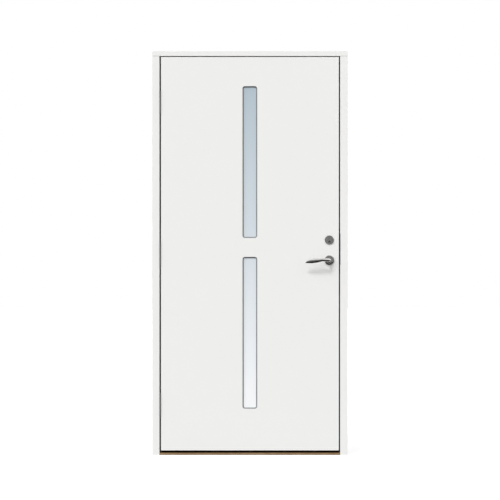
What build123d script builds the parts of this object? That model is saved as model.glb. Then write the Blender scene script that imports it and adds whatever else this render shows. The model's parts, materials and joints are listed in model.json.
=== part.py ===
from build123d import *
from math import cos, radians, sin
import os

# Axes: x to the right seen from outside, y into the house, z up. Millimetres.
# The origin is on the underside of the threshold, halfway across the width and the depth.

# Frame
frame_width = 1010
frame_height = 2090
frame_depth = 115
jamb_face = 38
head_face = 26
stop_overlap = 12
frame_arris = 1.2
fixing_radius = 7
fixing_inset = 230
fixing_spacing = 600

# Gaps round the leaf
side_gap = 6.2
top_gap = 5
bottom_gap = 11
seal_gap = 6
touch_gap = 0.3

# Threshold
sill_nose = 12
sill_slope = 3
nose_radius = 2

# Leaf: two skins over a rimmed core
leaf_thickness = 62
skin = 6
skin_arris = 0.8
lock_edge_bevel = 2.6
hinge_stile_width = 60
lock_stile_width = 122
top_rail_height = 80
bottom_rail_height = 120

# Glass slots
slot_width = 76
slot_radius = 13
above_slots = 151
between_slots = 98
below_slots = 216
gasket_lip = 6
gasket_margin = 10
gasket_thickness = 3
gasket_bevel = 4
gasket_edge = 0.6
pane = 4
pane_margin = 12
pocket_play = 2
spacer_width = 8

# Rebate seals
seal_base = 1.5
seal_width = 14
bulb_radius = 2.6
bulb_wall = 0.9
bulb_inset = 11
sweep_width = 6
sweep_setback = 22
sweep_groove = 4
sweep_hang = 3.5

# Hinges, with slim barrels in the gap
hinge_inset = 235
hinge_height = 120
hinge_proud = 2
barrel_radius = 3.3
hinge_pin_radius = 2
hinge_pin_length = 46
pin_play = 0.06
flap_thickness = 2.5
flap_width = 30
flap_setback = 9
lug_thickness = 1.8
lug_reach = 14

# Lock and strike
handle_backset = 50
handle_height = 1008
cylinder_spacing = 105
forend_height = 235
forend_width = 24
forend_thickness = 3
forend_drop = 78
case_depth = 82
case_height = 205
case_thickness = 18
latch_width = 12
latch_height = 24
latch_rise = 24
dead_bolt_height = 30
dead_bolt_drop = 32
bolt_length = 40
bolt_play = 0.3
strike_thickness = 2.5
strike_drop = 23
strike_height = 161
strike_depth = 44
strike_pocket = 18
strike_hole_play = 3

# Lever set
rose_radius = 25
rose_thickness = 8
rose_crown = 1.2
rose_round = 1.2
neck_radius = 9
neck_play = 0.3
neck_straight = 17
neck_bend = 16
spindle_side = 8
spindle_play = 0.1
spindle_grip = 22
spindle_hole_radius = 8
follower_radius = 6.5

# Lever grip: distance from the spindle, standing off the leaf, rise, half height, half thickness
grip_stations = (
    (35, 52.5, 1.8, 8.8, 5.6),
    (54, 51.8, -0.5, 10.4, 5.3),
    (80, 50.0, -3.5, 11.9, 4.9),
    (103, 48.2, -5.7, 10.4, 4.3),
    (117, 46.8, -8.8, 6.6, 3.4),
    (124, 45.8, -11.4, 2.6, 1.9),
)
grip_tip = (126, 45.4, -12.2)
elbow_turn = 45
elbow_half_thickness = 8
bend_half_height = 8.6
bend_half_thickness = 6.8
bend_rise = 0.8

# Cylinder and thumb turn
ring_radius = 24.2
ring_face_radius = 23.6
ring_height = 5
ring_round = 2
cylinder_radius = 16
cylinder_proud = 6.5
cylinder_play = 0.1
plug_radius = 6.5
plug_drop = 7.5
plug_play = 0.06
plug_proud = 1.2
plug_chamfer = 1
keyway_width = 3
keyway_height = 9
keyway_depth = 20
tail_radius = 3
tail_length = 8
cam_radius = 7
turn_rose_height = 8
turn_shaft_radius = 6
turn_hub_radius = 11
turn_hub_height = 6
turn_grip_width = 9
turn_grip_height = 36
turn_grip_depth = 14
turn_grip_round = 4.2

# Places worked out from the sizes above
frame_front = -frame_depth / 2
frame_back = frame_depth / 2
frame_side = frame_width / 2
jamb_inner = frame_side - jamb_face
leaf_half = jamb_inner - side_gap
leaf_front = frame_front
leaf_back = leaf_front + leaf_thickness
leaf_middle = (leaf_front + leaf_back) / 2
core_front = leaf_front + skin
core_back = leaf_back - skin
stop_front = leaf_back + seal_gap
stop_inner = leaf_half - stop_overlap
head_under = frame_height - head_face
leaf_top = head_under - top_gap
leaf_bottom = sill_nose + bottom_gap
stop_under = leaf_top - stop_overlap
riser_top = leaf_bottom + stop_overlap
fixing_heights = (fixing_inset, fixing_inset + fixing_spacing,
                  frame_height - fixing_inset - fixing_spacing, frame_height - fixing_inset)
slot_height = (leaf_top - leaf_bottom - above_slots - between_slots - below_slots) / 2
slot_bottoms = {"lower": leaf_bottom + below_slots, "upper": leaf_top - above_slots - slot_height}
handle_x = leaf_half - handle_backset
cylinder_height = handle_height + cylinder_spacing
plug_height = cylinder_height - plug_drop
strike_bottom = handle_height - strike_drop
strike_top = strike_bottom + strike_height
case_front = leaf_middle - case_thickness / 2
case_back = leaf_middle + case_thickness / 2
forend_bottom = handle_height - forend_drop
case_bottom = forend_bottom + (forend_height - case_height) / 2
hinge_x = side_gap / 2 - jamb_inner
hinge_y = leaf_front - hinge_proud
hinge_heights = {
    "bottom": leaf_bottom + hinge_inset,
    "middle": (leaf_bottom + leaf_top) / 2,
    "top": leaf_top - hinge_inset,
}
latch_height_at = handle_height + latch_rise
dead_bolt_height_at = cylinder_height - dead_bolt_drop
from_base = (Align.CENTER, Align.CENTER, Align.MIN)


def block(x0, x1, y0, y1, z0, z1):
    return Pos((x0 + x1) / 2, (y0 + y1) / 2, (z0 + z1) / 2) * Box(x1 - x0, y1 - y0, z1 - z0)


def out_of(face_y, way, x, z):
    # Plane on a face of the leaf at x, z, with its normal pointing away from the leaf
    return Plane(origin=(x, face_y, z), x_dir=(1, 0, 0), z_dir=(0, way, 0))


def rod(x, z, radius, y0, y1):
    return out_of(y0, 1, x, z) * Cylinder(radius, y1 - y0, align=from_base)


def slot_outline(bottom, grow, y, way):
    # Rounded outline of a slot on the centre line, grown all round
    outline = RectangleRounded(slot_width + 2 * grow, slot_height + 2 * grow, slot_radius + grow)
    return out_of(y, way, 0, bottom + slot_height / 2) * outline


def leaf_slice(y0, y1):
    # Layer of the leaf between two depths: its lock edge leans back so that it clears the jamb
    def lock_edge(y):
        return leaf_half - lock_edge_bevel * (y - leaf_front) / leaf_thickness

    corners = ((-leaf_half, y0), (lock_edge(y0), y0), (lock_edge(y1), y1), (-leaf_half, y1))
    outline = make_face(Polyline(*corners, close=True))
    return Pos(0, 0, leaf_bottom) * extrude(outline, leaf_top - leaf_bottom)


def seal_profile():
    # Flat base with a hollow bulb: first axis along the stop from the rebate's corner, second out of it
    base = Pos(seal_width / 2, seal_base / 2) * Rectangle(seal_width, seal_base)
    bulb_rise = seal_gap - touch_gap - bulb_radius
    stem = Pos(bulb_inset, bulb_rise / 2) * Rectangle(bulb_radius, bulb_rise)
    bulb = Pos(bulb_inset, bulb_rise) * Circle(bulb_radius)
    return base + stem + bulb - Pos(bulb_inset, bulb_rise) * Circle(bulb_radius - bulb_wall)


def seal(corner, along_stop, run, length):
    # Seal with its corner of the rebate at corner, its base along along_stop, drawn out along run
    plane = Plane(origin=corner, x_dir=along_stop, z_dir=run)
    return extrude(plane * seal_profile(), length)


def hinge_flap_box(side, height):
    # Flap let into the jamb (side -1) or into the hinge stile (side 1)
    edge = hinge_x + side * side_gap / 2
    x0, x1 = sorted((edge, edge + side * flap_thickness))
    y0 = leaf_front + flap_setback
    return block(x0, x1, y0, y0 + flap_width, height - hinge_height / 2, height + hinge_height / 2)


def hinge_half(side, height):
    # Lower half with the pin on the jamb, upper half with the bored barrel on the stile
    low = height - hinge_height / 2 if side < 0 else height + touch_gap / 2
    high = height - touch_gap / 2 if side < 0 else height + hinge_height / 2
    edge = hinge_x + side * side_gap / 2
    x0, x1 = sorted((edge, edge - side * lug_thickness))
    lug = block(x0, x1, hinge_y, leaf_front + flap_setback + lug_reach, low, high)
    foot = Pos(hinge_x, hinge_y, low)
    barrel = foot * Cylinder(barrel_radius, high - low, align=from_base)
    half = hinge_flap_box(side, height) + lug + barrel
    if side < 0:
        return half + foot * Cylinder(hinge_pin_radius, high - low + hinge_pin_length, align=from_base)
    return half - foot * Cylinder(hinge_pin_radius + pin_play, hinge_pin_length + touch_gap, align=from_base)


def jamb(side):
    board = Pos(side * (frame_side - jamb_face / 2), 0) * Rectangle(jamb_face, frame_depth)
    board = fillet(board.vertices().group_by(Axis.Y)[0], frame_arris)
    side_view = Pos(0, head_under / 2) * Rectangle(frame_depth, head_under)
    top_front = side_view.vertices().group_by(Axis.Y)[-1].sort_by(Axis.X)[0]
    side_view = Plane.YZ * fillet(top_front, frame_arris)
    post = extrude(board, head_under) & extrude(side_view, frame_width, both=True)
    x0, x1 = sorted((side * stop_inner, side * jamb_inner))
    solid = post + block(x0, x1, stop_front, frame_back, riser_top, stop_under)
    middle = (stop_front + frame_back) / 2
    for height in fixing_heights:
        hole = Cylinder(fixing_radius, 2 * (frame_side - stop_inner))
        solid -= Pos(side * (frame_side + stop_inner) / 2, middle, height) * Rot(0, 90, 0) * hole
    return solid


def hinge_jamb():
    solid = jamb(-1)
    for height in hinge_heights.values():
        solid -= hinge_flap_box(-1, height)
    return solid


def strike_box(x_depth, y0, y1, z0, z1):
    return block(jamb_inner, jamb_inner + x_depth, y0, y1, z0, z1)


def strike_holes(x_depth):
    # Openings for the latch and the dead bolt, in line with them
    reach = latch_width / 2 + strike_hole_play
    low, high = leaf_middle - reach, leaf_middle + reach
    holes = []
    for height, size in ((latch_height_at, latch_height), (dead_bolt_height_at, dead_bolt_height)):
        half = size / 2 + strike_hole_play
        holes.append(strike_box(x_depth, low, high, height - half, height + half))
    return holes[0] + holes[1]


def strike_seat():
    return strike_box(strike_thickness, frame_front, frame_front + strike_depth, strike_bottom, strike_top)


def strike_plate():
    return strike_seat() - strike_holes(strike_thickness)


def lock_jamb():
    return jamb(1) - strike_seat() - strike_holes(strike_pocket)


def head():
    board = Plane.YZ * Pos(0, head_under + head_face / 2) * Rectangle(frame_depth, head_face)
    board = fillet(board.vertices().group_by(Axis.Y)[0], frame_arris)
    solid = Pos(-frame_side, 0, 0) * extrude(board, frame_width)
    return solid + block(-jamb_inner, jamb_inner, stop_front, frame_back, stop_under, head_under)


def threshold():
    outline = Polyline(
        (frame_front, 0),
        (frame_back, 0),
        (frame_back, riser_top),
        (stop_front, riser_top),
        (stop_front, sill_nose + sill_slope),
        (frame_front, sill_nose),
        close=True,
    )
    profile = make_face(outline)
    nose = profile.vertices().sort_by(Axis.Y).group_by(Axis.X)[0].sort_by(Axis.Y)[-1]
    profile = fillet(nose, nose_radius)
    return Pos(-jamb_inner, 0, 0) * extrude(Plane.YZ * profile, 2 * jamb_inner)


def frame_seals():
    # The upright seals run the whole height of the rebate, the others fit between them
    up = (0, 0, 1)
    low = sill_nose + sill_slope
    half = jamb_inner - seal_width - touch_gap
    lock_side = seal((jamb_inner, stop_front, low), (-1, 0, 0), up, head_under - low)
    return {
        "seal_hinge_side": mirror(lock_side, Plane.YZ),
        "seal_lock_side": lock_side,
        "seal_head": seal((half, stop_front, head_under), (0, 0, -1), (-1, 0, 0), 2 * half),
        "seal_threshold": seal((-half, stop_front, low), up, (1, 0, 0), 2 * half),
    }


def skin_sheet(y0, y1, outer_way, hole_height, hole_radius):
    # Sheet with its slots, the spindle's hole and the hole for the cylinder or the thumb turn's shaft
    sheet = leaf_slice(y0, y1) - rod(handle_x, handle_height, spindle_hole_radius, y0, y1)
    sheet -= rod(handle_x, hole_height, hole_radius, y0, y1)
    for bottom in slot_bottoms.values():
        sheet -= extrude(slot_outline(bottom, 0, y0, 1), y1 - y0)
    faces = sheet.faces().filter_by(Axis.Y).sort_by(Axis.Y)
    outer = faces[0] if outer_way < 0 else faces[-1]
    return chamfer(outer.edges(), skin_arris)


def outer_skin():
    return skin_sheet(leaf_front, core_front, -1, cylinder_height, cylinder_radius + cylinder_play)


def inner_skin():
    return skin_sheet(core_back, leaf_back, 1, plug_height, turn_shaft_radius + cylinder_play)


def core_part(x0, x1, z0, z1):
    return leaf_slice(core_front, core_back) & block(x0, x1, core_front, core_back, z0, z1)


def hinge_stile():
    solid = core_part(-leaf_half, hinge_stile_width - leaf_half, leaf_bottom, leaf_top)
    for height in hinge_heights.values():
        solid -= hinge_flap_box(1, height)
    return solid


def forend_block():
    low, high = leaf_middle - forend_width / 2, leaf_middle + forend_width / 2
    x0 = leaf_half - lock_edge_bevel - forend_thickness
    forend_top = forend_bottom + forend_height
    return leaf_slice(low, high) & block(x0, leaf_half, low, high, forend_bottom, forend_top)


def case_block():
    x1 = leaf_half - lock_edge_bevel - forend_thickness
    return block(x1 - case_depth, x1, case_front, case_back, case_bottom, case_bottom + case_height)


def bolt(height, size, play):
    low, high = leaf_middle - latch_width / 2 - play, leaf_middle + latch_width / 2 + play
    half = size / 2 + play
    x0 = leaf_half - lock_edge_bevel - bolt_length - play
    return leaf_slice(low, high) & block(x0, leaf_half, low, high, height - half, height + half)


def lock_stile():
    x0 = leaf_half - lock_stile_width
    solid = core_part(x0, leaf_half, leaf_bottom, leaf_top) - forend_block() - case_block()
    solid -= rod(handle_x, handle_height, spindle_hole_radius, core_front, core_back)
    solid -= rod(handle_x, cylinder_height, cylinder_radius + cylinder_play, core_front, case_front)
    return solid - rod(handle_x, plug_height, turn_shaft_radius + cylinder_play, case_back, core_back)


def mortise_lock():
    solid = forend_block() + case_block()
    solid -= bolt(latch_height_at, latch_height, bolt_play)
    solid -= bolt(dead_bolt_height_at, dead_bolt_height, bolt_play)
    solid -= rod(handle_x, handle_height, follower_radius, case_front, case_back)
    return solid - rod(handle_x, plug_height, cam_radius, case_front, case_back)


def core_between(z0, z1):
    return core_part(hinge_stile_width - leaf_half, leaf_half - lock_stile_width, z0, z1)


def insulation_core():
    solid = core_between(leaf_bottom + bottom_rail_height, leaf_top - top_rail_height)
    reach = pane_margin + pocket_play
    for bottom in slot_bottoms.values():
        half = slot_width / 2 + reach
        solid -= block(-half, half, core_front, core_back, bottom - reach, bottom + slot_height + reach)
    return solid


def sweep_box():
    y0 = leaf_front + sweep_setback
    return block(-leaf_half, leaf_half - lock_edge_bevel, y0, y0 + sweep_width,
                 leaf_bottom - sweep_hang, leaf_bottom + sweep_groove)


def glazing(bottom):
    # Three panes and two spacer frames between the gaskets
    half = slot_width / 2 + pane_margin
    low, high = bottom - pane_margin, bottom + slot_height + pane_margin
    glass_front = core_front + gasket_thickness
    glass_back = core_back - gasket_thickness
    step = (glass_back - glass_front - pane) / 2
    panes, spacers = [], []
    for row in range(3):
        y0 = glass_front + row * step
        panes.append(block(-half, half, y0, y0 + pane, low, high))
    for row in range(2):
        y0, y1 = glass_front + row * step + pane, glass_front + (row + 1) * step
        rim = block(-half, half, y0, y1, low, high)
        inner = half - spacer_width
        spacers.append(rim - block(-inner, inner, y0, y1, low + spacer_width, high - spacer_width))
    return Compound(children=panes), Compound(children=spacers)


def gasket(bottom, face_y, way):
    # Ring under the edge of the skin, its lip sloping down to a thin edge on the glass
    glass_y = face_y - way * gasket_thickness
    ring = extrude(slot_outline(bottom, gasket_margin, glass_y, way), gasket_thickness)
    ring -= extrude(slot_outline(bottom, -gasket_lip, glass_y, way), gasket_thickness)
    wide = slot_outline(bottom, gasket_bevel - gasket_lip, face_y, way)
    narrow = slot_outline(bottom, -gasket_lip, glass_y + way * gasket_edge, way)
    return ring - loft([wide, narrow], ruled=True)


def domed_disc(radius, height, bore):
    # Turned disc with a domed face and a rounded rim, bored through
    apex, rim = (0, height), (radius, height - rose_crown)
    outline = Polyline(apex, (0, 0), (radius, 0), rim) + TangentArc(apex, rim, tangent=(1, 0))
    profile = make_face(outline)
    rim_corner = profile.vertices().group_by(Axis.X)[-1].sort_by(Axis.Y)[-1]
    profile = fillet(rim_corner, rose_round) - Rectangle(2 * bore, 3 * height)
    return revolve(Plane.XZ * profile, Axis.Z)


def rose(face_y, way):
    disc = domed_disc(rose_radius, rose_thickness, neck_radius + neck_play)
    return out_of(face_y, way, handle_x, handle_height) * disc


def lever(face_y, way):
    # Round neck out of the rose, then a bend into a drooping blade that points to the hinges
    def section(reach, stand_off, rise, tilt, half_height, half_thickness):
        origin = (handle_x - reach, face_y + way * stand_off, handle_height + rise)
        run = (-sin(radians(tilt)), way * cos(radians(tilt)), 0)
        return Plane(origin=origin, x_dir=(0, 0, 1), z_dir=run) * Ellipse(half_height, half_thickness)

    neck_end = rose_thickness + neck_straight
    grip_stand_off = grip_stations[0][1]
    bend_start = grip_stand_off - neck_bend
    elbow_reach = neck_bend * (1 - cos(radians(elbow_turn)))
    elbow_out = bend_start + neck_bend * sin(radians(elbow_turn))
    sections = [
        section(0, neck_end, 0, 0, neck_radius, neck_radius),
        section(0, bend_start, 0, 0, neck_radius, neck_radius),
        section(elbow_reach, elbow_out, bend_rise / 2, elbow_turn, neck_radius, elbow_half_thickness),
        section(neck_bend, grip_stand_off, bend_rise, 90, bend_half_height, bend_half_thickness),
    ]
    for station in grip_stations:
        sections.append(section(*station[:3], 90, *station[3:]))
    tip = Vertex(handle_x - grip_tip[0], face_y + way * grip_tip[1], handle_height + grip_tip[2])
    blade = loft([*sections, tip])
    neck = Cylinder(neck_radius, neck_end - touch_gap, align=from_base)
    neck = out_of(face_y + way * touch_gap, way, handle_x, handle_height) * neck
    return blade + neck - spindle_bar(spindle_play)


def spindle_bar(play):
    half = spindle_side / 2 + play
    reach = spindle_grip + play
    return block(handle_x - half, handle_x + half, leaf_front - reach, leaf_back + reach,
                 handle_height - half, handle_height + half)


def cylinder_ring():
    ring = Cone(ring_radius, ring_face_radius, ring_height, align=from_base)
    ring = fillet(ring.edges().group_by(Axis.Z)[-1], ring_round)
    ring -= Cylinder(cylinder_radius + cylinder_play, ring_height, align=from_base)
    return out_of(leaf_front, -1, handle_x, cylinder_height) * ring


def cylinder_body():
    front = leaf_front - cylinder_proud
    body = rod(handle_x, cylinder_height, cylinder_radius, front, case_front)
    return body - rod(handle_x, plug_height, plug_radius + plug_play, front, case_front)


def key_plug():
    front = leaf_front - cylinder_proud - plug_proud
    plug = rod(handle_x, plug_height, plug_radius, front, case_front)
    plug = chamfer(plug.edges().group_by(Axis.Y)[0], plug_chamfer)
    plug += rod(handle_x, plug_height, tail_radius, case_front, case_front + tail_length)
    half_width, half_height = keyway_width / 2, keyway_height / 2
    return plug - block(handle_x - half_width, handle_x + half_width, front, front + keyway_depth,
                        plug_height - half_height, plug_height + half_height)


def thumbturn_rose():
    disc = domed_disc(ring_radius, turn_rose_height, turn_shaft_radius + cylinder_play)
    return out_of(leaf_back, 1, handle_x, plug_height) * disc


def thumbturn():
    hub_start = leaf_back + turn_rose_height + touch_gap
    grip_start = hub_start + turn_hub_height
    solid = rod(handle_x, plug_height, turn_shaft_radius, case_back, grip_start)
    solid += rod(handle_x, plug_height, turn_hub_radius, hub_start, grip_start)
    wing = RectangleRounded(turn_grip_width, turn_grip_height, turn_grip_round)
    return solid + extrude(out_of(grip_start, 1, handle_x, plug_height) * wing, turn_grip_depth)


nodes = {
    "hinge_jamb": hinge_jamb(),
    "lock_jamb": lock_jamb(),
    "head": head(),
    "threshold": threshold(),
    **frame_seals(),
    "strike_plate": strike_plate(),
    "outer_skin": outer_skin(),
    "inner_skin": inner_skin(),
    "hinge_stile": hinge_stile() - sweep_box(),
    "lock_stile": lock_stile() - sweep_box(),
    "top_rail": core_between(leaf_top - top_rail_height, leaf_top),
    "bottom_rail": core_between(leaf_bottom, leaf_bottom + bottom_rail_height) - sweep_box(),
    "insulation_core": insulation_core(),
    "bottom_seal": sweep_box(),
    "mortise_lock": mortise_lock(),
    "latch_bolt": bolt(latch_height_at, latch_height, 0),
    "dead_bolt": bolt(dead_bolt_height_at, dead_bolt_height, 0),
    "rose_outside": rose(leaf_front, -1),
    "rose_inside": rose(leaf_back, 1),
    "lever_outside": lever(leaf_front, -1),
    "lever_inside": lever(leaf_back, 1),
    "spindle": spindle_bar(0),
    "cylinder_ring": cylinder_ring(),
    "cylinder_body": cylinder_body(),
    "key_plug": key_plug(),
    "thumbturn_rose": thumbturn_rose(),
    "thumbturn": thumbturn(),
}
for place, height in hinge_heights.items():
    nodes["hinge_post_" + place] = hinge_half(-1, height)
    nodes["hinge_flap_" + place] = hinge_half(1, height)
for place, bottom in slot_bottoms.items():
    nodes["glazing_" + place], nodes["spacers_" + place] = glazing(bottom)
    nodes["gasket_" + place + "_outside"] = gasket(bottom, core_front, -1)
    nodes["gasket_" + place + "_inside"] = gasket(bottom, core_back, 1)

os.makedirs("parts", exist_ok=True)
for name, solid in nodes.items():
    export_step(solid, "parts/" + name + ".step")
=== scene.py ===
import bmesh
import bpy
import json
import math
from mathutils import Matrix, Vector


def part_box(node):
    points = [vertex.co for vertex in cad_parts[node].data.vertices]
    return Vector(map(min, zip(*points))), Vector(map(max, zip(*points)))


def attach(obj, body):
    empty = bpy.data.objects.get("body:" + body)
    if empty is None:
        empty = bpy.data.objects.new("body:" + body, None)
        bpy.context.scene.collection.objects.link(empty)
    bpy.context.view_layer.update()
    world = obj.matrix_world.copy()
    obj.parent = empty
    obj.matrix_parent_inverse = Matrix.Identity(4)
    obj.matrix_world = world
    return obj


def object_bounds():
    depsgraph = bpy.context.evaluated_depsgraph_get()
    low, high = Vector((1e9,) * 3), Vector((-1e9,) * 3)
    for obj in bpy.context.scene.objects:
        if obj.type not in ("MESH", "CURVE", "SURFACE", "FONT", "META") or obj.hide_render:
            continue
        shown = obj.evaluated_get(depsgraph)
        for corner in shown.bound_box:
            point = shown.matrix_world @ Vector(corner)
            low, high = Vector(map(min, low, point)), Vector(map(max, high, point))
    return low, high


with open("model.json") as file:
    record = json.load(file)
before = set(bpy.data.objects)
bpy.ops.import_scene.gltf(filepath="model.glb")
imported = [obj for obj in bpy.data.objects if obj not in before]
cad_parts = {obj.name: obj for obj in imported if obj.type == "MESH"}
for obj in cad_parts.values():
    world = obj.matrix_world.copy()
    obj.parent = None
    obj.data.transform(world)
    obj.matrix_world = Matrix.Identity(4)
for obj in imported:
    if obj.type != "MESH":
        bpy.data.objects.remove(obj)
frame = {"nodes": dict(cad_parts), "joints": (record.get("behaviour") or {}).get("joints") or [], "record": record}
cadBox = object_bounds()
cadNodes = frame["nodes"]
record = frame["record"]
scene = bpy.context.scene
mm = 0.001
print("frame loaded:", len(cadNodes), "nodes")


# Node helpers

def addNode(tree, kind, spot, **settings):
    node = tree.nodes.new(kind)
    node.location = spot
    for name, value in settings.items():
        setattr(node, name, value)
    return node


def setInputs(node, **values):
    for label, value in values.items():
        node.inputs[label].default_value = value
    return node


def addMath(tree, operation, spot, first, second):
    node = addNode(tree, "ShaderNodeMath", spot, operation=operation)
    for socket, source in zip(node.inputs, (first, second)):
        if isinstance(source, (int, float)):
            socket.default_value = source
        else:
            tree.links.new(source, socket)
    return node.outputs[0]


def addRange(tree, spot, value, start, end, low=0.0, high=1.0):  # start gives low, end gives high
    spread = addNode(tree, "ShaderNodeMapRange", spot)
    setInputs(spread, **{"From Min": start, "From Max": end, "To Min": low, "To Max": high})
    tree.links.new(value, spread.inputs["Value"])
    return spread.outputs[0]


def splitPlace(tree, spot):  # the object's own coordinates, a socket for each axis
    place = addNode(tree, "ShaderNodeTexCoord", spot)
    split = addNode(tree, "ShaderNodeSeparateXYZ", (spot[0] + 200, spot[1]))
    tree.links.new(place.outputs["Object"], split.inputs[0])
    return split.outputs


def startGroup(name, inputs, outputs):
    group = bpy.data.node_groups.new(name, "ShaderNodeTree")
    for label, kind, value in inputs:
        socket = group.interface.new_socket(label, in_out="INPUT", socket_type=kind)
        socket.default_value = value
    for label, kind in outputs:
        group.interface.new_socket(label, in_out="OUTPUT", socket_type=kind)
    return group, addNode(group, "NodeGroupInput", (-900, 0)), addNode(group, "NodeGroupOutput", (500, 0))


def useGroup(tree, group, spot, **values):
    return setInputs(addNode(tree, "ShaderNodeGroup", spot, node_tree=group), **values)


def newMaterial(name):
    material = bpy.data.materials.new(name)
    material.use_nodes = True
    return material, material.node_tree, material.node_tree.nodes["Principled BSDF"]


def addBump(tree, shader, height, depth, strength):
    bump = addNode(tree, "ShaderNodeBump", (-250, -350))
    setInputs(bump, Distance=depth, Strength=strength)
    tree.links.new(height, bump.inputs["Height"])
    tree.links.new(bump.outputs["Normal"], shader.inputs["Normal"])


def mixColor(tree, mask, first, second):
    mix = addNode(tree, "ShaderNodeMix", (-450, 200), data_type="RGBA")
    tree.links.new(mask, mix.inputs["Factor"])
    for socket, source in ((mix.inputs[6], first), (mix.inputs[7], second)):
        if isinstance(source, tuple):
            socket.default_value = source
        else:
            tree.links.new(source, socket)
    return mix.outputs[2]


def spreadRoughness(tree, shader, mask, look):
    spread = addRange(tree, (-450, -150), mask, 0.0, 1.0, *look["roughness"])
    tree.links.new(spread, shader.inputs["Roughness"])


# Shared effects

noiseSpan = (0.3, 0.7)  # where nearly all of a noise's values lie
edgeSpan = (0.995, 0.8)  # cosine between the flat and the rounded normal, off and on an arris


def makeToneDrift():  # slow change of a colour over the piece
    group, given, result = startGroup("toneDrift", (
        ("Color", "NodeSocketColor", (0.8, 0.8, 0.8, 1)),
        ("Amount", "NodeSocketFloat", 0.02),
        ("Size", "NodeSocketFloat", 3.0),
    ), (("Color", "NodeSocketColor"),))
    place = addNode(group, "ShaderNodeTexCoord", (-900, -250))
    noise = addNode(group, "ShaderNodeTexNoise", (-700, -250))
    setInputs(noise, Detail=3.0, Roughness=0.55)
    group.links.new(place.outputs["Object"], noise.inputs["Vector"])
    group.links.new(given.outputs["Size"], noise.inputs["Scale"])
    swing = addMath(group, "SUBTRACT", (-500, -250), noise.outputs[0], 0.5)
    swing = addMath(group, "MULTIPLY", (-320, -250), swing, given.outputs["Amount"])
    share = addMath(group, "MULTIPLY_ADD", (-140, -250), swing, 2.0)
    share.node.inputs[2].default_value = 1.0
    scaled = addNode(group, "ShaderNodeVectorMath", (100, 0), operation="SCALE")
    group.links.new(given.outputs["Color"], scaled.inputs[0])
    group.links.new(share, scaled.inputs["Scale"])
    group.links.new(scaled.outputs[0], result.inputs["Color"])
    return group


def makeFineLines():  # stretched noise: brush strokes, drawn metal, extruded rubber, sprayed stipple
    group, given, result = startGroup("fineLines", (
        ("Stretch", "NodeSocketVector", (1, 1, 1)),
        ("Size", "NodeSocketFloat", 800.0),
    ), (("Height", "NodeSocketFloat"), ("Mask", "NodeSocketFloat")))
    place = addNode(group, "ShaderNodeTexCoord", (-900, -250))
    pulled = addNode(group, "ShaderNodeVectorMath", (-700, -250), operation="MULTIPLY")
    group.links.new(place.outputs["Object"], pulled.inputs[0])
    group.links.new(given.outputs["Stretch"], pulled.inputs[1])
    noise = addNode(group, "ShaderNodeTexNoise", (-450, -250))
    setInputs(noise, Detail=4.0, Roughness=0.6)
    group.links.new(pulled.outputs[0], noise.inputs["Vector"])
    group.links.new(given.outputs["Size"], noise.inputs["Scale"])
    group.links.new(noise.outputs[0], result.inputs["Height"])
    group.links.new(addRange(group, (-150, -250), noise.outputs[0], *noiseSpan), result.inputs["Mask"])
    return group


def makeEdgeRub():  # mask that is 1 on the arrises, broken up so that it isn't a drawn line
    group, given, result = startGroup("edgeRub", (
        ("Radius", "NodeSocketFloat", 1.5 * mm),
        ("Break", "NodeSocketFloat", 60.0),
    ), (("Mask", "NodeSocketFloat"),))
    rounded = addNode(group, "ShaderNodeBevel", (-700, 100), samples=6)
    group.links.new(given.outputs["Radius"], rounded.inputs["Radius"])
    flat = addNode(group, "ShaderNodeNewGeometry", (-700, -100))
    facing = addNode(group, "ShaderNodeVectorMath", (-480, 0), operation="DOT_PRODUCT")
    group.links.new(rounded.outputs[0], facing.inputs[0])
    group.links.new(flat.outputs["Normal"], facing.inputs[1])
    edge = addRange(group, (-280, 0), facing.outputs["Value"], *edgeSpan)
    place = addNode(group, "ShaderNodeTexCoord", (-700, -350))
    noise = addNode(group, "ShaderNodeTexNoise", (-480, -350))
    setInputs(noise, Detail=4.0)
    group.links.new(place.outputs["Object"], noise.inputs["Vector"])
    group.links.new(given.outputs["Break"], noise.inputs["Scale"])
    worn = addMath(group, "MULTIPLY", (-50, 0), edge, noise.outputs[0])
    group.links.new(worn, result.inputs["Mask"])
    return group


def makeCrevice():  # mask that is 1 deep in gaps, rebates and joints, where painted shade goes
    group, given, result = startGroup("crevice", (
        ("Reach", "NodeSocketFloat", 8 * mm),
        ("Open", "NodeSocketFloat", 0.55),
        ("Shut", "NodeSocketFloat", 0.1),
    ), (("Mask", "NodeSocketFloat"),))
    opening = addNode(group, "ShaderNodeAmbientOcclusion", (-500, 0), samples=8)
    group.links.new(given.outputs["Reach"], opening.inputs["Distance"])
    deep = addNode(group, "ShaderNodeMapRange", (-200, 0))
    group.links.new(given.outputs["Open"], deep.inputs["From Min"])
    group.links.new(given.outputs["Shut"], deep.inputs["From Max"])
    group.links.new(opening.outputs["AO"], deep.inputs["Value"])
    group.links.new(deep.outputs[0], result.inputs["Mask"])
    return group


def makeUndersides():  # value that falls from 1 on upright faces to 0 on those that face down
    group, _, result = startGroup("undersides", (), (("Value", "NodeSocketFloat"),))
    face = addNode(group, "ShaderNodeNewGeometry", (-500, 0))
    split = addNode(group, "ShaderNodeSeparateXYZ", (-300, 0))
    group.links.new(face.outputs["Normal"], split.inputs[0])
    value = addMath(group, "ADD", (-100, 0), split.outputs["Z"], 1.0)
    value.node.use_clamp = True
    group.links.new(value, result.inputs["Value"])
    return group


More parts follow.
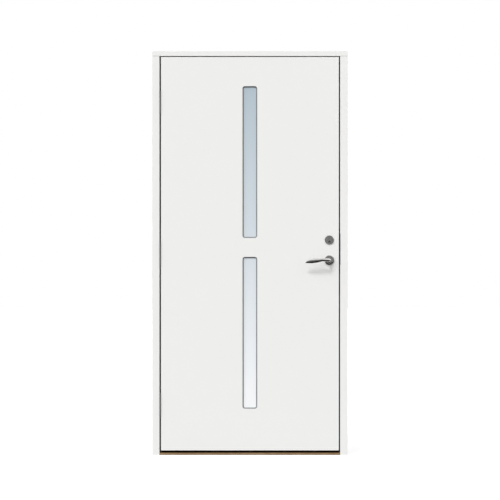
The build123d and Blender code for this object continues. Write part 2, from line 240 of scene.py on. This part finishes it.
def makeFrontArris():  # mask that is 1 on front arrises: From to To off the middle, or Below a height
    group, given, result = startGroup("frontArris", (
        ("From", "NodeSocketFloat", 0.0),
        ("To", "NodeSocketFloat", 1.0),
        ("Below", "NodeSocketFloat", -1.0),
        ("Depth", "NodeSocketFloat", 0.0),
    ), (("Mask", "NodeSocketFloat"),))
    place = splitPlace(group, (-900, -250))
    away = addMath(group, "ABSOLUTE", (-500, -150), place["X"], 0.0)
    past = addMath(group, "GREATER_THAN", (-300, -50), away, given.outputs["From"])
    within = addMath(group, "LESS_THAN", (-300, -200), away, given.outputs["To"])
    low = addMath(group, "LESS_THAN", (-300, -350), place["Z"], given.outputs["Below"])
    front = addMath(group, "LESS_THAN", (-300, -500), place["Y"], given.outputs["Depth"])
    band = addMath(group, "MULTIPLY", (-120, -120), past, within)
    band = addMath(group, "MAXIMUM", (60, -120), band, low)
    group.links.new(addMath(group, "MULTIPLY", (240, -250), band, front), result.inputs["Mask"])
    return group


def makeTurnedRings():  # lathe marks round an axis along Y
    group, given, result = startGroup("turnedRings", (
        ("Centre", "NodeSocketVector", (0, 0, 0)),
        ("Size", "NodeSocketFloat", 2500.0),
    ), (("Height", "NodeSocketFloat"), ("Mask", "NodeSocketFloat")))
    place = addNode(group, "ShaderNodeTexCoord", (-900, -250))
    away = addNode(group, "ShaderNodeVectorMath", (-720, -250), operation="SUBTRACT")
    group.links.new(place.outputs["Object"], away.inputs[0])
    group.links.new(given.outputs["Centre"], away.inputs[1])
    flat = addNode(group, "ShaderNodeVectorMath", (-540, -250), operation="MULTIPLY")
    flat.inputs[1].default_value = (1, 0, 1)
    group.links.new(away.outputs[0], flat.inputs[0])
    length = addNode(group, "ShaderNodeVectorMath", (-360, -250), operation="LENGTH")
    group.links.new(flat.outputs[0], length.inputs[0])
    noise = addNode(group, "ShaderNodeTexNoise", (-150, -250), noise_dimensions="1D")
    setInputs(noise, Detail=2.0)
    group.links.new(length.outputs["Value"], noise.inputs["W"])
    group.links.new(given.outputs["Size"], noise.inputs["Scale"])
    group.links.new(noise.outputs[0], result.inputs["Height"])
    group.links.new(addRange(group, (100, -250), noise.outputs[0], *noiseSpan), result.inputs["Mask"])
    return group


toneDrift = makeToneDrift()
fineLines = makeFineLines()
edgeRub = makeEdgeRub()
crevice = makeCrevice()
undersides = makeUndersides()
frontArris = makeFrontArris()
turnedRings = makeTurnedRings()
print("shared effects made")


# Finishes

whitePaint = {
    "color": (0.855, 0.855, 0.839, 1),
    "edgeColor": (0.80, 0.80, 0.785, 1),
    # colour of the painted shade in gaps, joints and on the arrises at the gaps
    "shadeColor": (0.10, 0.098, 0.092, 1),
    "skinArris": 0.8 * mm,  # how far painted shade reaches over the arrises at the gaps
    "jambArris": 1.2 * mm,
    "seam": {"Reach": 5 * mm, "Open": 0.98, "Shut": 0.72},  # painted shade line where head and jambs meet
    "seamReach": 3 * mm,
    "drift": {"Amount": 0.006, "Size": 2.5},
    "rub": {"Radius": 1.2 * mm, "Break": 90.0},
    "roughness": (0.36, 0.46),
    "bump": 0.35,
    "stroke": 700.0,  # brush strokes per metre across the timber
    "strokeRun": 0.025,  # scale along it, which draws them out 40 times
    "strokeDepth": 0.05 * mm,
    "stipple": 1100.0,
    "stippleDepth": 0.03 * mm,
}


def darkenSeam(tree, color):  # only near the head: lower down the same mask would circle the hinges
    # painted shade along the joint of head and jambs
    seam = useGroup(tree, crevice, (-650, 350), **whitePaint["seam"])
    place = splitPlace(tree, (-1100, 350))
    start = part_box("hinge_jamb")[1].z - whitePaint["seamReach"]
    high = addMath(tree, "GREATER_THAN", (-650, 200), place["Z"], start)
    mask = addMath(tree, "MULTIPLY", (-450, 350), seam.outputs["Mask"], high)
    return mixColor(tree, mask, color, whitePaint["shadeColor"])


def shadeSkinArris(tree, color):  # painted shade on the outer skin's arrises at the gaps
    corner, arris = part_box("outer_skin")[0], whitePaint["skinArris"]
    shadedArris = useGroup(tree, frontArris, (-650, 350), From=-corner.x - arris, Below=corner.z + arris,
                      Depth=corner.y + arris)
    return mixColor(tree, shadedArris.outputs["Mask"], color, whitePaint["shadeColor"])


def shadeHingeSide(tree, color):  # painted shade at the joint with the head, and on the hinge jamb's arris at the gap
    color = darkenSeam(tree, color)
    front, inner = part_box("hinge_jamb")[0].y, -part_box("threshold")[0].x
    arris = whitePaint["jambArris"]
    shadedArris = useGroup(tree, frontArris, (-650, 800), To=inner + arris, Depth=front + arris)
    return mixColor(tree, shadedArris.outputs["Mask"], color, whitePaint["shadeColor"])


def makePaint(name, stretch, size, depth, finishColor=None):
    material, tree, shader = newMaterial(name)
    lines = useGroup(tree, fineLines, (-700, -200), Stretch=stretch, Size=size)
    drift = useGroup(tree, toneDrift, (-900, 200), Color=whitePaint["color"], **whitePaint["drift"])
    rub = useGroup(tree, edgeRub, (-700, 0), **whitePaint["rub"])
    color = mixColor(tree, rub.outputs["Mask"], drift.outputs[0], whitePaint["edgeColor"])
    # painted shade deep in gaps and rebates, left off the faces that look down
    deep = useGroup(tree, crevice, (-900, 450))
    notFacingDown = useGroup(tree, undersides, (-900, 650))
    paintedShade = addMath(tree, "MULTIPLY", (-650, 550), deep.outputs["Mask"], notFacingDown.outputs["Value"])
    color = mixColor(tree, paintedShade, color, whitePaint["shadeColor"])
    if finishColor:
        color = finishColor(tree, color)
    tree.links.new(color, shader.inputs["Base Color"])
    spreadRoughness(tree, shader, lines.outputs["Mask"], whitePaint)
    addBump(tree, shader, lines.outputs["Height"], depth, whitePaint["bump"])
    return material


def makeBrushedPaint(name, along, finishColor=darkenSeam):
    stretch = [1.0, 1.0, 1.0]
    stretch[along] = whitePaint["strokeRun"]
    return makePaint(name, stretch, whitePaint["stroke"], whitePaint["strokeDepth"], finishColor)


oak = {
    "pale": (0.46, 0.31, 0.165, 1),
    "dark": (0.255, 0.15, 0.064, 1),
    "pore": (0.10, 0.058, 0.024, 1),
    "leafShade": (0.065, 0.029, 0.004, 1),  # painted shadow of the leaf on the threshold
    "leafShadePlace": {"Reach": 14 * mm, "Open": 0.8, "Shut": 0.35},
    "noseShade": 0.95,
    "noseRise": (8.2 * mm, 11 * mm),  # painted shadow sets in on the front nose between these heights
    "noseDepth": 20 * mm,
    "drift": {"Amount": 0.25, "Size": 22.0},
    "rings": {"Stretch": (0.09, 1.0, 1.0), "Size": 55.0},
    "pores": {"Stretch": (0.04, 1.0, 1.0), "Size": 900.0},
    "poreThinning": 3.0,
    "poreDepth": 0.15 * mm,
    "roughness": (0.42, 0.6),
    "bump": 0.5,
}


def makeOak():
    material, tree, shader = newMaterial("oiledOak")
    figure = useGroup(tree, fineLines, (-1100, 300), **oak["rings"])
    pores = useGroup(tree, fineLines, (-1100, 0), **oak["pores"])
    rings = mixColor(tree, figure.outputs["Mask"], oak["dark"], oak["pale"])
    thin = addMath(tree, "POWER", (-850, 0), pores.outputs["Mask"], oak["poreThinning"])
    grain = mixColor(tree, thin, rings, oak["pore"])
    drift = useGroup(tree, toneDrift, (-250, 300), **oak["drift"])
    tree.links.new(grain, drift.inputs["Color"])
    # painted shadow of the leaf: deep under it, and over the top of the front nose
    leafShade = useGroup(tree, crevice, (-250, 550), **oak["leafShadePlace"])
    place = splitPlace(tree, (-850, 800))
    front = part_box("threshold")[0].y
    climb = addRange(tree, (-450, 800), place["Z"], *oak["noseRise"], high=oak["noseShade"])
    fade = addRange(tree, (-450, 1050), place["Y"], front + oak["noseDepth"], front)
    nose = addMath(tree, "MULTIPLY", (-250, 850), climb, fade)
    shaded = addMath(tree, "MAXIMUM", (-50, 650), leafShade.outputs["Mask"], nose)
    color = mixColor(tree, shaded, drift.outputs[0], oak["leafShade"])
    tree.links.new(color, shader.inputs["Base Color"])
    spreadRoughness(tree, shader, pores.outputs["Mask"], oak)
    addBump(tree, shader, pores.outputs["Height"], oak["poreDepth"], oak["bump"])
    return material


rubbers = {
    "black": {"color": (0.012, 0.012, 0.013, 1), "roughness": (0.6, 0.78), "gloss": 0.15},
    "grey": {"color": (0.21, 0.219, 0.229, 1), "roughness": (0.5, 0.65), "gloss": 0.35},
    "undersideShade": (0.012, 0.0125, 0.013, 1),  # painted shade on the faces that look down, such as the slots' top lips
    "lines": {"Stretch": (1.0, 1.0, 0.05), "Size": 1500.0},
    "drift": {"Amount": 0.12, "Size": 40.0},
    "depth": 0.04 * mm,
    "bump": 0.5,
}


def makeRubber(name, look):
    material, tree, shader = newMaterial(name)
    lines = useGroup(tree, fineLines, (-700, -200), **rubbers["lines"])
    drift = useGroup(tree, toneDrift, (-700, 200), Color=look["color"], **rubbers["drift"])
    upright = useGroup(tree, undersides, (-700, 450))
    # painted shade on faces that look down
    color = mixColor(tree, upright.outputs["Value"], rubbers["undersideShade"], drift.outputs[0])
    tree.links.new(color, shader.inputs["Base Color"])
    spreadRoughness(tree, shader, lines.outputs["Mask"], look)
    addBump(tree, shader, lines.outputs["Height"], rubbers["depth"], rubbers["bump"])
    shader.inputs["Specular IOR Level"].default_value = look["gloss"]
    return material


satinGlass = {
    "low": (0.935, 0.945, 0.962, 1),  # painted sky reflection, palest at the foot of the lower slot
    "middle": (0.700, 0.752, 0.799, 1),
    "high": (0.456, 0.546, 0.610, 1),  # painted sky reflection, bluest at the top of the upper slot
    "middleAt": 0.45,
    "drift": {"Amount": 0.01, "Size": 6.0},
    "grain": 2200.0,
    "grainDepth": 0.01 * mm,
    "roughness": (0.2, 0.3),
    "bump": 0.3,
}


def makeSatinGlass():
    material, tree, shader = newMaterial("satinGlass")
    foot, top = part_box("glazing_lower")[0].z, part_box("glazing_upper")[1].z
    # the colour ramp up the glass is a painted reflection of the sky
    climb = addRange(tree, (-940, 300), splitPlace(tree, (-1300, 300))["Z"], foot, top)
    ramp = addNode(tree, "ShaderNodeValToRGB", (-760, 300))
    ramp.color_ramp.elements[0].color = satinGlass["low"]
    ramp.color_ramp.elements[1].color = satinGlass["high"]
    ramp.color_ramp.elements.new(satinGlass["middleAt"]).color = satinGlass["middle"]
    tree.links.new(climb, ramp.inputs["Fac"])
    drift = useGroup(tree, toneDrift, (-450, 300), **satinGlass["drift"])
    tree.links.new(ramp.outputs["Color"], drift.inputs["Color"])
    tree.links.new(drift.outputs[0], shader.inputs["Base Color"])
    grain = useGroup(tree, fineLines, (-760, -200), Size=satinGlass["grain"])
    spreadRoughness(tree, shader, grain.outputs["Mask"], satinGlass)
    addBump(tree, shader, grain.outputs["Height"], satinGlass["grainDepth"], satinGlass["bump"])
    return material


metals = {
    "spacer": {"color": (0.55, 0.56, 0.57, 1), "roughness": (0.35, 0.5), "stretch": (1.0, 1.0, 0.04)},
    "lockSteel": {"color": (0.46, 0.46, 0.47, 1), "roughness": (0.3, 0.45), "stretch": (1.0, 1.0, 0.03)},
    "strike": {"color": (0.52, 0.52, 0.53, 1), "roughness": (0.45, 0.6), "stretch": (1.0, 1.0, 0.03),
               "metallic": 0.4},  # dull zinc
    "nickel": {"color": (0.74, 0.732, 0.724, 1), "roughness": (0.08, 0.15), "stretch": (0.05, 1.0, 1.0)},
    # darker than the nickel round it, partly its own metal and partly painted shade for the keyway
    "plug": {"color": (0.42, 0.40, 0.36, 1), "roughness": (0.3, 0.42), "stretch": (1.0, 1.0, 1.0)},
    "turned": {"roughness": (0.16, 0.28), "depth": 0.01 * mm, "bump": 0.4},
    "lines": 3000.0,
    "drift": {"Amount": 0.04, "Size": 30.0},
    "depth": 0.004 * mm,
    "bump": 0.3,
}


def makeDrawnMetal(name, look):
    material, tree, shader = newMaterial(name)
    lines = useGroup(tree, fineLines, (-700, -200), Stretch=look["stretch"], Size=metals["lines"])
    drift = useGroup(tree, toneDrift, (-700, 200), Color=look["color"], **metals["drift"])
    tree.links.new(drift.outputs[0], shader.inputs["Base Color"])
    spreadRoughness(tree, shader, lines.outputs["Mask"], look)
    addBump(tree, shader, lines.outputs["Height"], metals["depth"], metals["bump"])
    shader.inputs["Metallic"].default_value = look.get("metallic", 1.0)
    return material


def makeTurnedNickel(name, centre):
    look = metals["turned"]
    material, tree, shader = newMaterial(name)
    rings = useGroup(tree, turnedRings, (-700, -200), Centre=centre)
    drift = useGroup(tree, toneDrift, (-700, 200), Color=metals["nickel"]["color"], **metals["drift"])
    tree.links.new(drift.outputs[0], shader.inputs["Base Color"])
    spreadRoughness(tree, shader, rings.outputs["Mask"], look)
    addBump(tree, shader, rings.outputs["Height"], look["depth"], look["bump"])
    shader.inputs["Metallic"].default_value = 1.0
    return material


hingeCoat = {
    "color": (0.125, 0.122, 0.119, 1),
    "worn": (0.19, 0.186, 0.182, 1),
    "roughness": (0.5, 0.66),
    "gloss": 0.3,
    "stipple": 2200.0,
    "drift": {"Amount": 0.15, "Size": 60.0},
    "rub": {"Radius": 0.5 * mm, "Break": 240.0},
    "depth": 0.02 * mm,
    "bump": 0.4,
}


def makeHingeCoat():
    material, tree, shader = newMaterial("darkHingeCoat")
    stipple = useGroup(tree, fineLines, (-900, -200), Size=hingeCoat["stipple"])
    drift = useGroup(tree, toneDrift, (-900, 200), Color=hingeCoat["color"], **hingeCoat["drift"])
    rub = useGroup(tree, edgeRub, (-900, 0), **hingeCoat["rub"])
    color = mixColor(tree, rub.outputs["Mask"], drift.outputs[0], hingeCoat["worn"])
    tree.links.new(color, shader.inputs["Base Color"])
    spreadRoughness(tree, shader, stipple.outputs["Mask"], hingeCoat)
    addBump(tree, shader, stipple.outputs["Height"], hingeCoat["depth"], hingeCoat["bump"])
    shader.inputs["Specular IOR Level"].default_value = hingeCoat["gloss"]
    return material


foam = {
    "color": (0.78, 0.76, 0.70, 1),
    "roughness": (0.75, 0.95),
    "cells": 1200.0,
    "drift": {"Amount": 0.08, "Size": 50.0},
    "depth": 0.3 * mm,
    "bump": 0.6,
}


def makeFoam():
    material, tree, shader = newMaterial("rigidFoam")
    cells = useGroup(tree, fineLines, (-700, -200), Size=foam["cells"])
    drift = useGroup(tree, toneDrift, (-700, 200), Color=foam["color"], **foam["drift"])
    tree.links.new(drift.outputs[0], shader.inputs["Base Color"])
    spreadRoughness(tree, shader, cells.outputs["Mask"], foam)
    addBump(tree, shader, cells.outputs["Height"], foam["depth"], foam["bump"])
    return material


joints = {joint["name"]: Vector(joint["pos_m"]) for joint in frame["joints"]}
acrossAxis, uprightAxis = 0, 2  # axes that the timber runs along
sprayed = ((1, 1, 1), whitePaint["stipple"], whitePaint["stippleDepth"])
leverRings = makeTurnedNickel("turnedNickelRose", joints["lever_turn"])
keyRings = makeTurnedNickel("turnedNickelCylinder", joints["key_turn"])
finishes = {
    "frame_paint": makeBrushedPaint("brushedPaintUpright", uprightAxis),
    "leaf_paint": makePaint("sprayedPaint", *sprayed),
    "oak": makeOak(),
    "black_rubber": makeRubber("blackRubber", rubbers["black"]),
    "grey_rubber": makeRubber("greyRubber", rubbers["grey"]),
    "satin_glass": makeSatinGlass(),
    "spacer_metal": makeDrawnMetal("millAluminium", metals["spacer"]),
    "foam": makeFoam(),
    "dark_hinge_steel": makeHingeCoat(),
    "lock_steel": makeDrawnMetal("lockSteel", metals["lockSteel"]),
    "polished_nickel": makeDrawnMetal("polishedNickel", metals["nickel"]),
}
ownFinish = {
    "hinge_jamb": makeBrushedPaint("brushedPaintHingeSide", uprightAxis, shadeHingeSide),
    "head": makeBrushedPaint("brushedPaintAcross", acrossAxis),
    "outer_skin": makePaint("sprayedOuterPaint", *sprayed, shadeSkinArris),
    "strike_plate": makeDrawnMetal("strikeSteel", metals["strike"]),
    "rose_outside": leverRings,
    "rose_inside": leverRings,
    "cylinder_ring": keyRings,
    "cylinder_body": keyRings,
    "key_plug": makeDrawnMetal("keyPlugShadedMetal", metals["plug"]),
    "thumbturn_rose": keyRings,
}
for subpart in record["subparts"]:
    node = subpart["node"]
    piece = cadNodes[node]
    piece.data.materials.clear()
    piece.data.materials.append(ownFinish.get(node, finishes[subpart["material_slot"]]))
print("finishes on:", len(record["subparts"]), "nodes")


# Screws

screw = {
    "head": 4.0 * mm,  # head's radius
    "foot": 2.2 * mm,
    "sink": 2.0 * mm,
    "crown": 0.94,  # share of the head's radius that is flat on top
    "proud": 0.15 * mm,
    "slotLength": 4.6 * mm,
    "slotWidth": 1.1 * mm,
    "slotDepth": 1.3 * mm,
    "slotTaper": (0.6, 0.7),  # length and width at the slot's floor, as a share of its mouth
    "sides": 24,
}


def ringOf(mesh, points, height):
    corners = [mesh.verts.new((x, y, height)) for x, y in points]
    return [mesh.edges.new((corners[i - 1], corners[i])) for i in range(len(corners))]


def circlePoints(radius, sides):
    return [(radius * math.cos(2 * math.pi * i / sides), radius * math.sin(2 * math.pi * i / sides))
            for i in range(sides)]


def crossPoints(length, width):
    far, near = length / 2, width / 2
    arm = ((far, -near), (far, near), (near, near))
    points = []
    for turn in range(4):
        c, s = round(math.cos(turn * math.pi / 2)), round(math.sin(turn * math.pi / 2))
        points += [(c * x - s * y, s * x + c * y) for x, y in arm]
    return points


def bridgeAll(mesh, loops):
    for first, second in zip(loops, loops[1:]):
        bmesh.ops.bridge_loops(mesh, edges=first + second)


def addScrew(mesh, place):  # countersunk cross-head screw, its head's rim at place, facing place's Z
    start = len(mesh.verts)
    mesh.verts.ensure_lookup_table()
    foot = ringOf(mesh, circlePoints(screw["foot"], screw["sides"]), -screw["sink"])
    rim = ringOf(mesh, circlePoints(screw["head"], screw["sides"]), 0)
    crown = ringOf(mesh, circlePoints(screw["head"] * screw["crown"], screw["sides"]), screw["proud"])
    mouth = ringOf(mesh, crossPoints(screw["slotLength"], screw["slotWidth"]), screw["proud"])
    shorter, thinner = screw["slotTaper"]
    bottom = crossPoints(screw["slotLength"] * shorter, screw["slotWidth"] * thinner)
    floor = ringOf(mesh, bottom, -screw["slotDepth"])
    bridgeAll(mesh, (foot, rim, crown, mouth, floor))
    bmesh.ops.contextual_create(mesh, geom=foot)
    bmesh.ops.contextual_create(mesh, geom=floor)
    mesh.verts.ensure_lookup_table()
    bmesh.ops.transform(mesh, matrix=place, verts=mesh.verts[start:])


def facing(point, normal):
    return Matrix.Translation(point) @ Vector(normal).to_track_quat("Z", "Y").to_matrix().to_4x4()


def finishMesh(mesh, name, material, body):
    bmesh.ops.recalc_face_normals(mesh, faces=mesh.faces)
    data = bpy.data.meshes.new(name)
    mesh.to_mesh(data)
    mesh.free()
    data.materials.append(material)
    piece = bpy.data.objects.new(name, data)
    scene.collection.objects.link(piece)
    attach(piece, body)


hingeScrews = {
    "flap": 2.5 * mm,  # thickness of the flap
    "fromEdge": 8 * mm,
    "rises": (-48 * mm, -16 * mm, 16 * mm, 48 * mm),
}


def makeHingeScrews(half, side, body):
    mesh = bmesh.new()
    for name in ("bottom", "middle", "top"):
        low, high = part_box("hinge_" + half + "_" + name)
        x = low.x + hingeScrews["flap"] if side > 0 else high.x - hingeScrews["flap"]
        for rise in hingeScrews["rises"]:
            point = Vector((x, high.y - hingeScrews["fromEdge"], (low.z + high.z) / 2 + rise))
            addScrew(mesh, facing(point, (side, 0, 0)))
    finishMesh(mesh, "hinge_screws_" + half, finishes["dark_hinge_steel"], body)


makeHingeScrews("post", 1, "frame")
makeHingeScrews("flap", -1, "leaf")

lockScrews = {"fromEnd": 9 * mm, "lean": 1.3 * mm}  # the forend leans with the bevelled edge


def makeForendScrews():
    low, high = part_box("mortise_lock")
    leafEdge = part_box("outer_skin")[1].x
    mesh = bmesh.new()
    for z in (low.z + lockScrews["fromEnd"], high.z - lockScrews["fromEnd"]):
        addScrew(mesh, facing(Vector((leafEdge - lockScrews["lean"], (low.y + high.y) / 2, z)), (1, 0, 0)))
    finishMesh(mesh, "forend_screws", finishes["lock_steel"], "leaf")


strikeScrews = {"fromBottom": (12 * mm, 73 * mm, 147 * mm), "fromFront": 31 * mm}


def makeStrikeScrews():
    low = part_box("strike_plate")[0]
    mesh = bmesh.new()
    for rise in strikeScrews["fromBottom"]:
        addScrew(mesh, facing(Vector((low.x, low.y + strikeScrews["fromFront"], low.z + rise)), (-1, 0, 0)))
    finishMesh(mesh, "strike_screws", finishes["lock_steel"], "frame")


makeForendScrews()
makeStrikeScrews()
print("screws made")


# Frame sleeves: hollow hexagon-socket sleeves in the jambs' fixing holes

sleeve = {
    "play": 0.3 * mm,
    "socket": 5.5 * mm,  # from the axis to a corner of the hexagon
    "sink": 1.5 * mm,  # below both faces of the jamb
    "perSide": 4,
}


def hexagonPoints(radius, perSide):
    corners = [Vector(point) for point in circlePoints(radius, 6)]
    points = []
    for start, end in zip(corners, corners[1:] + corners[:1]):
        points += [tuple(start.lerp(end, step / perSide)) for step in range(perSide)]
    return points


def addSleeve(mesh, place, radius, length):
    start = len(mesh.verts)
    sides = 6 * sleeve["perSide"]
    rings = []
    for points in (circlePoints(radius, sides), hexagonPoints(sleeve["socket"], sleeve["perSide"])):
        rings.append([ringOf(mesh, points, height) for height in (0, length)])
    (outerLow, outerHigh), (innerLow, innerHigh) = rings
    bridgeAll(mesh, (outerLow, outerHigh, innerHigh, innerLow, outerLow))
    mesh.verts.ensure_lookup_table()
    bmesh.ops.transform(mesh, matrix=place, verts=mesh.verts[start:])


def makeSleeves():
    mesh = bmesh.new()
    for mount in record["mounts"]:
        if mount["kind"] != "bolt_pattern":
            continue
        node = "hinge_jamb" if mount["axis"][0] < 0 else "lock_jamb"
        low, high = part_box(node)
        length = high.x - low.x - 2 * sleeve["sink"]
        radius = mount["dims"]["hole_r_mm"] * mm - sleeve["play"]
        _, y, z = mount["pos_m"]
        for rise in (-0.5, 0.5):
            point = Vector((low.x + sleeve["sink"], y, z + rise * mount["dims"]["spacing_y_mm"] * mm))
            addSleeve(mesh, facing(point, (1, 0, 0)), radius, length)
    finishMesh(mesh, "frame_sleeves", finishes["lock_steel"], "frame")


makeSleeves()
print("sleeves made")


# Stage

studio = {
    "fill": 0.47,  # world light on the object
    "floor": (0.50, 0.50, 0.50, 1),
    "floorRoughness": 0.9,
    "floorGlow": 0.66,  # what the floor adds towards the camera
    "floorSize": 80.0,
    "lamps": {  # travel, strength and angular size
        "keyLight": ((0.19, 0.64, -0.736), 1.19, 0.21),  # from above, a little to the left
        "leftBox": ((0.64, 0.54, -0.55), 1.3, 0.9),
        "rightBox": ((-0.64, 0.54, -0.55), 0.3, 0.9),
        "backBox": ((0.15, -0.95, -0.27), 0.9, 0.5),  # low behind, for the inside of the door
    },
}


def makeWorld():
    world = bpy.data.worlds.new("studio")
    scene.world = world
    world.use_nodes = True
    tree = world.node_tree
    back = tree.nodes["Background"]
    back.inputs["Color"].default_value = (1, 1, 1, 1)
    rays = addNode(tree, "ShaderNodeLightPath", (-700, 0)).outputs
    seen = addMath(tree, "MAXIMUM", (-480, 0), rays["Is Camera Ray"], rays["Is Glossy Ray"])
    seen = addMath(tree, "MAXIMUM", (-300, 0), seen, rays["Is Transmission Ray"])
    level = addRange(tree, (-120, 0), seen, 0.0, 1.0, low=studio["fill"])
    tree.links.new(level, back.inputs["Strength"])


def makeSheet(name, half, first, second, material):  # first and second: y and z of its two edges along X
    corners = [(-half, *first), (half, *first), (half, *second), (-half, *second)]
    data = bpy.data.meshes.new(name)
    data.from_pydata(corners, [], [tuple(range(len(corners)))])
    data.materials.append(material)
    sheet = bpy.data.objects.new(name, data)
    scene.collection.objects.link(sheet)
    return sheet


def makeFloor():
    material, tree, shader = newMaterial("paleFloor")
    setInputs(shader, **{"Base Color": studio["floor"], "Roughness": studio["floorRoughness"],
                         "Specular IOR Level": 0.0})
    rays = addNode(tree, "ShaderNodeLightPath", (-700, 0)).outputs
    seen = addMath(tree, "MAXIMUM", (-480, 0), rays["Is Camera Ray"], rays["Is Transmission Ray"])
    glow = addMath(tree, "MULTIPLY", (-300, 0), seen, studio["floorGlow"])
    shader.inputs["Emission Color"].default_value = (1, 1, 1, 1)
    tree.links.new(glow, shader.inputs["Emission Strength"])
    half = studio["floorSize"] / 2
    makeSheet("floor", half, (-half, 0), (half, 0), material)


flags = {
    "floor": {"color": (0.033, 0.033, 0.033, 1), "near": 0.07, "far": 14.0, "half": 30.0, "height": 0.004},
    "front": {"color": (0.225, 0.225, 0.225, 1), "away": 22.0, "half": 45.0, "low": -1.0, "high": 9.5},
}


def makeFlagMaterial(name, color):
    material, _, shader = newMaterial(name)
    setInputs(shader, **{"Base Color": (0, 0, 0, 1), "Specular IOR Level": 0.0, "Emission Color": color,
                         "Emission Strength": 1.0})
    return material


def onlyInMetal(sheet):  # studio flags: seen in reflections, and shading nothing
    sheet.visible_camera = False
    sheet.visible_diffuse = False
    sheet.visible_shadow = False
    sheet.visible_transmission = False


def makeFlags():
    low, tall = flags["floor"], flags["front"]
    lowPaint = makeFlagMaterial("darkFlag", low["color"])
    tallPaint = makeFlagMaterial("greyFlag", tall["color"])
    for name, way in (("Outside", -1), ("Inside", 1)):
        near, far = (way * low["near"], low["height"]), (way * low["far"], low["height"])
        onlyInMetal(makeSheet("lowFlag" + name, low["half"], near, far, lowPaint))
        foot, top = (way * tall["away"], tall["low"]), (way * tall["away"], tall["high"])
        onlyInMetal(makeSheet("tallFlag" + name, tall["half"], foot, top, tallPaint))


def addSun(name, travel, strength, angle):
    light = bpy.data.lights.new(name, "SUN")
    light.energy = strength
    light.angle = angle
    lamp = bpy.data.objects.new(name, light)
    lamp.rotation_mode = "QUATERNION"
    lamp.rotation_quaternion = Vector(travel).to_track_quat("-Z", "Y")
    lamp.visible_glossy = False  # metal shows the white room and the flags, not the lamps
    scene.collection.objects.link(lamp)


makeWorld()
makeFloor()
makeFlags()
for name, lamp in studio["lamps"].items():
    addSun(name, *lamp)
print("stage set")


# Camera

view = {
    "away": 16.0,
    "pixelSize": 5.174 * mm,  # at the face of the door
    "pixels": 500,
    "doorCentre": (249.9, 253.0),  # pixel where the frame's middle is
    "sensor": 36.0,
    "clip": 200.0,
}


def makeCamera():
    low, high = cadBox
    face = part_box("outer_skin")[0].y
    camera = bpy.data.cameras.new("camera")
    camera.sensor_width = view["sensor"]
    camera.lens = view["sensor"] * view["away"] / (view["pixels"] * view["pixelSize"])
    camera.clip_end = view["clip"]
    item = bpy.data.objects.new("camera", camera)
    right = (view["pixels"] / 2 - view["doorCentre"][0]) * view["pixelSize"]
    up = (view["doorCentre"][1] - view["pixels"] / 2) * view["pixelSize"]
    item.location = ((low.x + high.x) / 2 + right, face - view["away"], (low.z + high.z) / 2 + up)
    item.rotation_euler = (math.pi / 2, 0, 0)
    scene.collection.objects.link(item)
    scene.camera = item


makeCamera()
scene.view_settings.view_transform = "Standard"
print("camera set")
